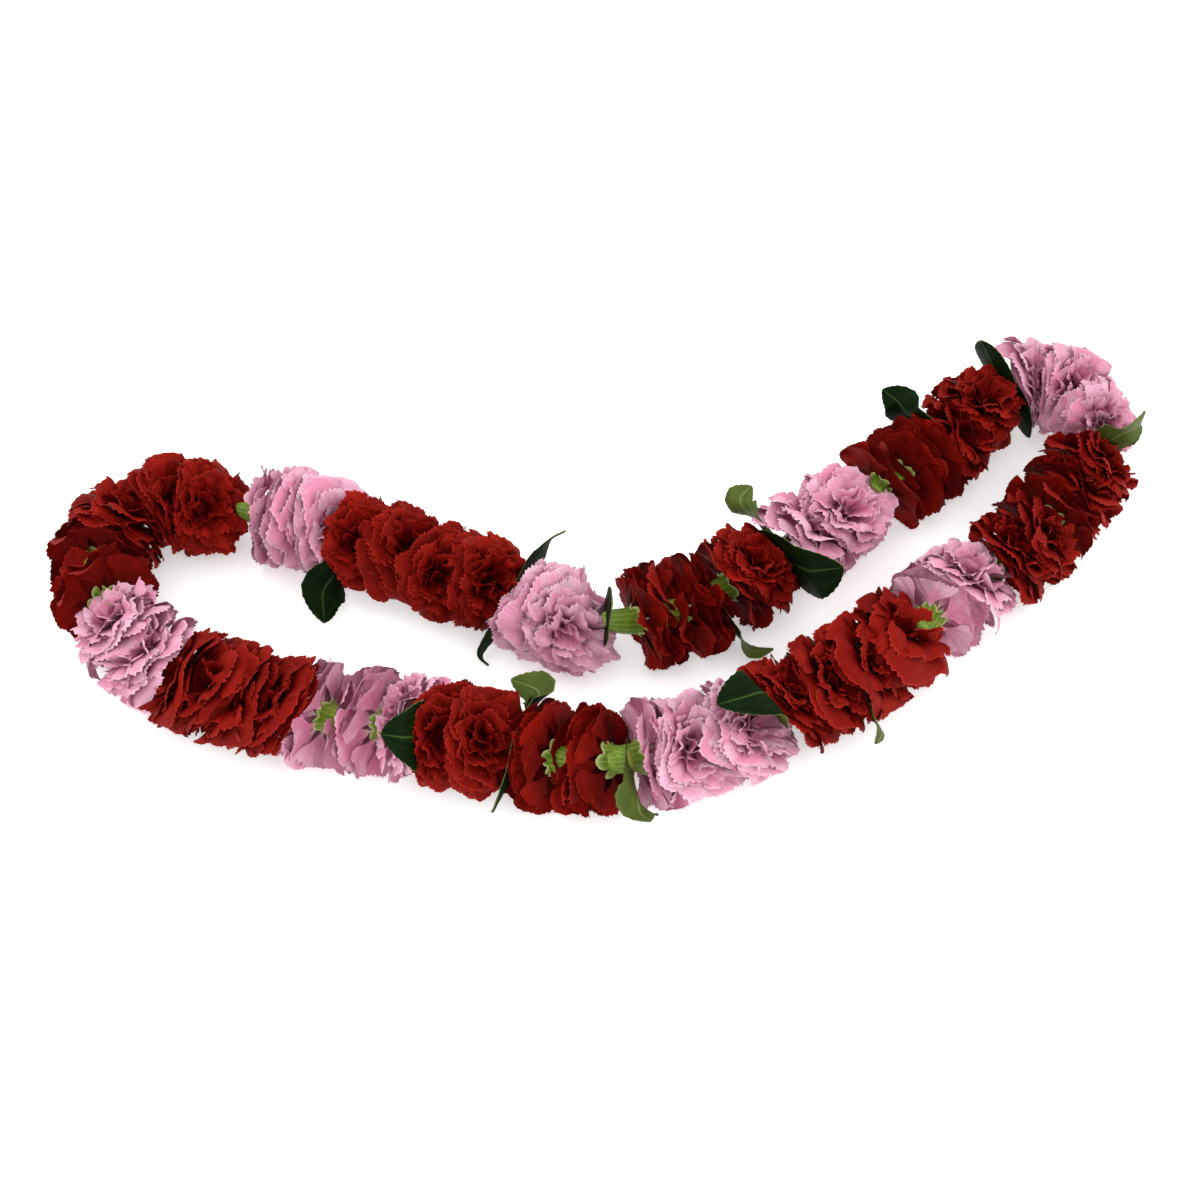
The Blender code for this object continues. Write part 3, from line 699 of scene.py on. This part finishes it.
def add_petals(mesh, flower, draw, first):
    """Heart and petals of one flower, numbered from first; returns the next number."""
    add_heart(mesh, flower, first)
    number = first + 1
    turn = any_turn(draw)
    hidden = flower.covered and flower.tilt < SHOWING_TILT
    openness = draw.uniform(-OPENING, OPENING) + (OPENING_BEHIND if flower.seen_from_behind else 0)
    for level, whorl in enumerate(BROAD_WHORLS if flower.broad else WHORLS):
        outer = level < OUTER_WHORLS
        count = whorl.count - (LEFT_OUT if hidden and level >= THINNED_FROM else 0)
        rows = OUTER_ROWS if outer else INNER_ROWS
        columns = np.linspace(-1.0, 1.0, OUTER_COLUMNS if outer else INNER_COLUMNS)
        turn += math.pi / count + draw.uniform(-PETAL_SHIFT, PETAL_SHIFT)
        for k in range(count):
            theta = turn + 2 * math.pi * (k + draw.uniform(-PETAL_SHIFT, PETAL_SHIFT)) / count
            x, y, z = np.broadcast_arrays(*petal(theta, whorl, rows, columns, openness, draw))
            points = flower.place(x, y, z + draw.uniform(-PETAL_SLIDE, PETAL_SLIDE), whorl.turning)
            mesh.patch(points, grid_pattern(number + 0.5 + PATTERN_HALF * columns[None, :], rows[:, None]))
            number += 1
    return number


def add_calyx(mesh, flower, draw, number):
    """A flared green tube with five curled teeth, ribbed along its length."""
    bare = flower.shown > 0 or flower.seen_from_behind
    around, width = CALYX_BARE if bare else CALYX_HIDDEN
    a = np.arange(around) * 2 * math.pi / around
    tooth = np.abs(np.sin(CALYX_TEETH / 2 * a + any_turn(draw)))
    r, z = [], []
    for forward, radius in CALYX:
        parted = float(smooth(forward, *TEETH_PART))
        ribs = RIB_HEIGHT * np.cos(CALYX_RIBS * a) * min(1.0, radius / 3.0)
        r.append(radius + ribs - CUT_INWARD * parted * (1 - tooth) ** 1.5)
        z.append(forward - CUT_BACK * parted * (1 - tooth))
    r, z = np.array(r), np.array(z)
    points = flower.place(width * r * np.cos(a), width * r * np.sin(a), z, 1.0)
    shares = np.linspace(0.0, 1.0, len(CALYX))
    mesh.patch(points, grid_pattern(number + a[None, :] / (2 * math.pi), shares[:, None]), wrapped=True)


def folded(a, fold):
    """Reach from the string, slide along it and bend at the distances a along one side of a leaf."""
    past = np.maximum(0.0, a - FOLD_START)
    bent = math.radians(fold)
    if abs(bent) < 1e-6:
        return a, 0.0 * a, 0.0 * a
    arc = np.minimum(past, FOLD_ARC)
    angle = bent * arc / FOLD_ARC
    radius = FOLD_ARC / bent
    reach = np.minimum(a, FOLD_START) + radius * np.sin(angle) + (past - arc) * np.cos(angle)
    slide = radius * (1 - np.cos(angle)) + (past - arc) * np.sin(angle)
    return reach, slide, angle


class Leaf:
    """One leaf's cut across the string, and how its flat blade is folded and turned into it."""

    def __init__(self, plane, shape, wave_turn):
        self.plane, self.shape, self.wave_turn = plane, shape, wave_turn

    def place(self, a, b, lift):
        """Points a along the blade, b across it and lifted off it, put round the string."""
        phi = math.radians(self.shape.direction)
        tip_side = folded(np.abs(a), self.shape.fold)
        stalk_side = folded(np.abs(a), self.shape.stalk_fold)
        ahead = a >= 0
        reach = np.where(ahead, tip_side[0], -stalk_side[0])
        slide = np.where(ahead, tip_side[1], stalk_side[1])
        bent = np.where(ahead, tip_side[2], -stalk_side[2])
        turned = np.clip((a - TWIST_START) / TWIST_ARC, 0.0, 1.0)
        twist = np.where(ahead, math.radians(self.shape.turn) * turned, 0.0)
        free = np.maximum(0.0, np.abs(a) - FOLD_START)
        wave = EDGE_WAVE * np.sin(a * EDGE_WAVE_RATE + self.wave_turn) * np.sign(b)
        wave = wave * np.minimum(1.0, np.abs(b) / EDGE_WAVE_WIDTH)
        fall = SIDE_FALL * np.abs(b) * np.minimum(1.0, free / SIDE_FALL_ARC)
        outward = lift * np.cos(twist) + b * np.sin(twist) + wave - fall
        flat = b * np.cos(twist) - lift * np.sin(twist)
        along = slide + outward * np.cos(bent)
        radial = reach - outward * np.sin(bent)
        u = radial * math.cos(phi) - flat * math.sin(phi)
        v = radial * math.sin(phi) + flat * math.cos(phi)
        return world(self.plane.at(u, v) + along, u, v)


def add_leaf(mesh, planes, shape, draw, number):
    """A pointed leaf with a keeled midrib, side veins pressed in and a thin toothed margin."""
    start, end = planes
    middle = start.moved((end.s - start.s) / 2)
    middle.upward += STRAIGHTER.get(number, 0.0)
    leaf = Leaf(middle, shape, any_turn(draw))

    x = (1 - np.cos(np.linspace(0, math.pi, LEAF_ROWS)))[:, None] / 2
    q = np.linspace(-1.0, 1.0, LEAF_COLUMNS)[None, :]
    teeth = TOOTH_DEPTH * np.where(np.arange(LEAF_ROWS) % 2, 1.0, -1.0)[:, None]
    teeth = teeth * smooth(np.abs(q), 0.93, 1.0)
    half = shape.width / 2 * np.sin(math.pi * np.clip(x, 1e-6, 1 - 1e-6) ** LEAF_POINT) ** LEAF_FULLNESS
    a = shape.length - (shape.length + shape.stalk) * x + 0.0 * q
    b = q * half + np.sign(q) * teeth * np.minimum(1.0, half / 3)
    midrib = MIDRIB_HEIGHT * np.exp(-(b / MIDRIB_WIDTH) ** 2)
    thick = LEAF_THICKNESS / 2 * (1 - 0.75 * np.abs(q) ** 3) + midrib
    veins = VEIN_DEPTH * np.cos(2 * math.pi * (x * VEIN_PAIRS + np.abs(q) * VEIN_SLANT))
    veins = veins * smooth(np.abs(q), 0.0, 0.3) * (1 - np.abs(q))
    groove = MIDRIB_HEIGHT * np.exp(-(b / GROOVE_WIDTH) ** 2)
    upper = leaf.place(a, b, thick - groove * 1.6 + veins)
    lower = leaf.place(a, b, -thick + veins)

    pattern = grid_pattern(number + 0.5 + PATTERN_HALF * q, x)
    top, underside = (1, 0) if number in PALE_UP else (0, 1)
    mesh.patch(upper, pattern, slot=top)
    mesh.patch(lower, pattern, slot=underside, flip=True)
    for column in (0, -1):
        rim = np.stack([upper[:, column], lower[:, column]], axis=1)
        marks = np.stack([pattern[:, column], pattern[:, column]], axis=1)
        mesh.patch(rim, marks, slot=top, flip=column == 0)


def add_string(mesh):
    """Three plies twisted into one thread round the whole lei."""
    s = np.linspace(0.0, LENGTH, STRING_ROWS, endpoint=False)[:, None]
    a = (np.arange(STRING_ROUND) * 2 * math.pi / STRING_ROUND)[None, :]
    plies = np.abs(np.cos(PLIES / 2 * (a + s * PLY_TWIST)))
    radius = STRING_RADIUS * (1 - PLY_DEPTH + PLY_DEPTH * plies)
    points = world(s + 0.0 * a, radius * np.cos(a), radius * np.sin(a))
    points = np.concatenate([points, points[:1]])
    along = np.linspace(0, LENGTH, STRING_ROWS + 1)[:, None] / 10
    mesh.patch(points, grid_pattern(a / (2 * math.pi), along), wrapped=True)


def nodes_of(name):
    """A new material: its node tree, its shader and a function that adds a linked node."""
    made = bpy.data.materials.new(name)
    made.use_nodes = True
    tree = made.node_tree
    shader = tree.nodes["Principled BSDF"]

    def add(kind, inputs=(), **settings):
        node = tree.nodes.new(kind)
        for key, value in settings.items():
            setattr(node, key, value)
        for slot, value in dict(inputs).items():
            socket = node.inputs[slot]
            if isinstance(value, bpy.types.NodeSocket):
                tree.links.new(value, socket)
            else:
                socket.default_value = value
        return node

    return made, tree, shader, add


def mixed(add, factor, first, second):
    """Colour between two others."""
    return add("ShaderNodeMix", {0: factor, 6: first, 7: second}, data_type="RGBA").outputs[2]


def ramp(add, value, low, high, start=0.0, end=1.0):
    """A value from low..high spread smoothly over start..end."""
    inputs = {"Value": value, "From Min": low, "From Max": high, "To Min": start, "To Max": end}
    return add("ShaderNodeMapRange", inputs, interpolation_type="SMOOTHSTEP").outputs["Result"]


def worked(add, operation, *values):
    """Result of one step of arithmetic on up to three values."""
    return add("ShaderNodeMath", dict(enumerate(values)), operation=operation).outputs[0]


def noise(add, place, scale, detail, **inputs):
    """Cloudy pattern between 0 and 1 over a place."""
    inputs = {"Vector": place, "Scale": scale, "Detail": detail, **inputs}
    return add("ShaderNodeTexNoise", inputs).outputs["Fac"]


def pattern_place(add):
    """A surface's pattern place, and its parts across and along."""
    place = add("ShaderNodeUVMap", uv_map="pattern").outputs["UV"]
    parts = add("ShaderNodeSeparateXYZ", {0: place})
    return place, parts.outputs[0], parts.outputs[1]


def finish_surface(tree, shader, colour, roughness, relief=None):
    """Colour, roughness and, where given, the fine relief of a surface put on its shader."""
    tree.links.new(colour, shader.inputs["Base Color"])
    shader.inputs["Roughness"].default_value = roughness
    if relief is not None:
        tree.links.new(relief.outputs[0], shader.inputs["Normal"])


def petal_material(name, body, deep, pale, root, rim, sheen, gloss):
    """Petal with fine veins from root to rim, each petal in a shade of its own, painted shade deepening
    towards the root and a painted highlight along the rim.
    """
    made, tree, shader, add = nodes_of(name)
    place, across, along = pattern_place(add)
    number = worked(add, "FLOOR", across)
    shade = add("ShaderNodeTexWhiteNoise", {"W": number}, noise_dimensions="1D").outputs["Value"]
    drawn_out = worked(add, "MULTIPLY", along, 0.045)
    fan = add("ShaderNodeCombineXYZ", {0: across, 1: drawn_out}).outputs[0]
    veins = noise(add, fan, 26.0, 3.0, Roughness=0.6)
    threads = noise(add, fan, 80.0, 2.0, Roughness=0.5)
    clouds = noise(add, place, 3.2, 3.0)
    bunch = add("ShaderNodeObjectInfo").outputs["Random"]
    colour = mixed(add, ramp(add, shade, 0.0, 1.0, 0.25, 1.0), deep, body)
    colour = mixed(add, ramp(add, bunch, 0.2, 1.0, 0.0, 0.35), colour, deep)
    colour = mixed(add, ramp(add, clouds, 0.42, 0.72, 0.0, 0.6), colour, pale)
    colour = mixed(add, ramp(add, veins, 0.50, 0.74, 0.0, 0.45), colour, deep)
    colour = mixed(add, ramp(add, threads, 0.55, 0.8, 0.0, 0.22), colour, pale)
    # painted shade: the colour deepens towards the root, where the depth of the flower lies in shadow
    colour = mixed(add, ramp(add, along, 0.85, 0.40, 0.0, 0.65), colour, deep)
    # nearest the root the red turns almost black, painted shade in the heart of the flower; the pink turns
    # to its own cream there
    colour = mixed(add, ramp(add, along, 0.36, 0.12, 0.0, 0.9), colour, root)
    # painted highlight: a paler band along the rim, where the thin edge catches the light
    colour = mixed(add, ramp(add, along, 0.95, 1.0, 0.0, 0.6), colour, rim)
    height = worked(add, "ADD", veins, threads)
    relief = add("ShaderNodeBump", {"Height": height, "Strength": 0.6, "Distance": 0.001})
    finish_surface(tree, shader, colour, 0.62, relief)
    shader.inputs["Specular IOR Level"].default_value = gloss
    shader.inputs["Sheen Weight"].default_value = sheen
    shader.inputs["Sheen Roughness"].default_value = 0.45
    return made


def leaf_material(name, body, deep, vein, margin, gloss):
    """Leaf surface: pale midrib and side veins over a blotched green."""
    made, tree, shader, add = nodes_of(name)
    place, across, along = pattern_place(add)
    centred = worked(add, "SUBTRACT", worked(add, "FRACT", across), 0.5)
    side = worked(add, "ABSOLUTE", centred)
    clouds = noise(add, place, 7.0, 4.0)
    colour = mixed(add, ramp(add, clouds, 0.35, 0.7), deep, body)
    slant = worked(add, "MULTIPLY_ADD", side, 2.6, along)
    saw = worked(add, "FRACT", worked(add, "MULTIPLY", slant, float(VEIN_PAIRS)))
    near = worked(add, "ABSOLUTE", worked(add, "SUBTRACT", saw, 0.5))
    colour = mixed(add, ramp(add, near, 0.07, 0.0, 0.0, 0.35), colour, vein)
    colour = mixed(add, ramp(add, side, 0.030, 0.008), colour, vein)
    colour = mixed(add, ramp(add, side, 0.435, PATTERN_HALF, 0.0, 0.8), colour, margin)
    fine = noise(add, place, 60.0, 2.0)
    relief = add("ShaderNodeBump", {"Height": fine, "Strength": 0.15, "Distance": 0.0004})
    finish_surface(tree, shader, colour, LEAF_ROUGHNESS, relief)
    shader.inputs["Specular IOR Level"].default_value = gloss
    return made


def calyx_material():
    """Ribbed green, yellower at the tail and cream at the teeth."""
    made, tree, shader, add = nodes_of("calyx_green")
    place, across, along = pattern_place(add)
    stripe = worked(add, "COSINE", worked(add, "MULTIPLY", across, 2 * CALYX_RIBS * math.pi))
    clouds = noise(add, place, 5.0, 3.0)
    colour = mixed(add, ramp(add, clouds, 0.35, 0.7), CALYX_DEEP, CALYX_BODY)
    colour = mixed(add, ramp(add, stripe, 0.2, 1.0, 0.0, 0.35), colour, CALYX_RIB)
    colour = mixed(add, ramp(add, along, 0.35, 0.1, 0.0, 0.8), colour, CALYX_YELLOW)
    colour = mixed(add, ramp(add, along, 0.82, 0.98, 0.0, 0.9), colour, CALYX_CREAM)
    relief = add("ShaderNodeBump", {"Height": stripe, "Strength": 0.2, "Distance": 0.0003})
    finish_surface(tree, shader, colour, 0.42, relief)
    shader.inputs["Specular IOR Level"].default_value = 0.25
    return made


def string_material():
    """Cotton thread, off-white with soft fibres."""
    made, tree, shader, add = nodes_of("cotton_thread")
    place = add("ShaderNodeUVMap", uv_map="pattern").outputs["UV"]
    fibres = noise(add, place, 30.0, 3.0)
    finish_surface(tree, shader, mixed(add, fibres, THREAD_SHADE, THREAD_LIGHT), 0.85)
    return made


def floor_material():
    """Pale floor with a little glow, so that its shadows stay soft."""
    made, tree, shader, add = nodes_of("floor_white")
    speckle = add("ShaderNodeTexNoise", {"Scale": 40.0, "Detail": 2.0}).outputs["Fac"]
    finish_surface(tree, shader, mixed(add, speckle, *FLOOR_SHADES), 0.9)
    shader.inputs["Specular IOR Level"].default_value = 0.0
    shader.inputs["Emission Color"].default_value = WHITE
    shader.inputs["Emission Strength"].default_value = FLOOR_GLOW
    return made


def add_floor():
    """A wide pale studio floor under the lei."""
    mesh = bpy.data.meshes.new("floor")
    half = FLOOR_HALF
    corners = [(-half, -half, 0), (half, -half, 0), (half, half, 0), (-half, half, 0)]
    mesh.from_pydata(corners, [], [(0, 1, 2, 3)])
    mesh.materials.append(floor_material())
    floor = bpy.data.objects.new("floor", mesh)
    bpy.context.scene.collection.objects.link(floor)


def add_lamp(name, place, size, power):
    """A square soft lamp aimed at the middle of the lei."""
    data = bpy.data.lights.new(name, "AREA")
    data.size = size
    data.energy = power
    lamp = bpy.data.objects.new(name, data)
    lamp.location = place
    direction = np.array(LIT_POINT) - np.array(place)
    lamp.rotation_mode = "QUATERNION"
    lamp.rotation_quaternion = Vector(direction).to_track_quat("-Z", "Y")
    bpy.context.scene.collection.objects.link(lamp)


def add_light_all_round():
    """Even white light from every side."""
    studio = bpy.data.worlds.new("studio")
    studio.use_nodes = True
    background = studio.node_tree.nodes["Background"]
    background.inputs["Color"].default_value = WHITE
    background.inputs["Strength"].default_value = LIGHT_ALL_ROUND
    bpy.context.scene.world = studio


def add_camera():
    """The photograph's view of the strand."""
    data = bpy.data.cameras.new("camera")
    data.lens = CAMERA_LENS
    data.sensor_width = SENSOR_WIDTH
    camera = bpy.data.objects.new("camera", data)
    place = np.array(CAMERA_PLACE) + (SHIFT[0], SHIFT[1], 0.0)
    camera.location = tuple(place * MM)
    camera.rotation_euler = (math.radians(CAMERA_TILT), 0.0, 0.0)
    bpy.context.scene.collection.objects.link(camera)
    bpy.context.scene.camera = camera


def string_shift():
    """How far the route moves to lie in the frame, from the place of its own string."""
    low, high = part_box("string")
    centre = (np.array(low) + np.array(high))[:2] / 2 / MM
    route = (PLACE.min(axis=0) + PLACE.max(axis=0)) / 2
    return np.array([centre[0] - route[0], centre[1] - route[1], 0.0])


def dress(made, node):
    """The piece takes the place of a node of the frame and rides on its only body."""
    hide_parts(node)
    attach(made, "root")


def build_leaf(item, number, draw):
    """One leaf in place of its node."""
    node = f"leaf_{number:02d}"
    mesh = Mesh()
    add_leaf(mesh, item["planes"], LEAVES[number - 1], draw, number)
    dress(mesh.build(node + "_blade", [LEAF_FACE, LEAF_BACK]), node)


def build_carnations(item, node, in_front, head, draw):
    """The one or two heads of a node, numbered round the lei from head: petals, then calyxes."""
    kind, side, planes = item["kind"], item["side"], item["planes"]
    petals, calyxes = Mesh(), Mesh()
    last = len(planes) - 2
    number = 0
    for i in range(last + 1):
        rearmost = i == (0 if side > 0 else last)
        foremost = i == (last if side > 0 else 0)
        covered = not foremost or in_front.get("side") == side
        shown = item["shown"] if rearmost else 0.0
        turn = TURNS[head + i]
        flower = Flower(planes[i], planes[i + 1], side, shown, covered, head + i in BROAD, turn)
        number = add_petals(petals, flower, draw, number)
        add_calyx(calyxes, flower, draw, i)
    dress(petals.build(node + "_petals", [PETALS[kind]]), node)
    dress(calyxes.build(node + "_calyx", [CALYX_GREEN]), node)


def build_string():
    """The thread in place of its node."""
    mesh = Mesh()
    add_string(mesh)
    dress(mesh.build("twisted_string", [THREAD]), "string")


def build_strand():
    """Every leaf and flower in order round the lei."""
    items = layout()
    draw = random.Random(SEED + 2)
    counts = {"red": 0, "pink": 0, "leaf": 0}
    head = 1
    for k, item in enumerate(items):
        kind = item["kind"]
        counts[kind] += 1
        if kind == "leaf":
            build_leaf(item, counts[kind], draw)
            continue
        in_front = items[(k + 1) % len(items)] if item["side"] > 0 else items[k - 1]
        build_carnations(item, f"{kind}_carnation_{counts[kind]:02d}", in_front, head, draw)
        head += len(item["planes"]) - 1


SHIFT = string_shift()
add_camera()
add_floor()
add_lamp("key", *KEY_LAMP)
add_lamp("fill", *FILL_LAMP)
add_light_all_round()
bpy.context.scene.view_settings.view_transform = "Standard"

PETALS = {"red": petal_material("carnation_red", **RED), "pink": petal_material("carnation_pink", **PINK)}
CALYX_GREEN = calyx_material()
LEAF_FACE = leaf_material("leaf_face", **LEAF_TOP)
LEAF_BACK = leaf_material("leaf_back", **LEAF_UNDERSIDE)
THREAD = string_material()

build_strand()
build_string()
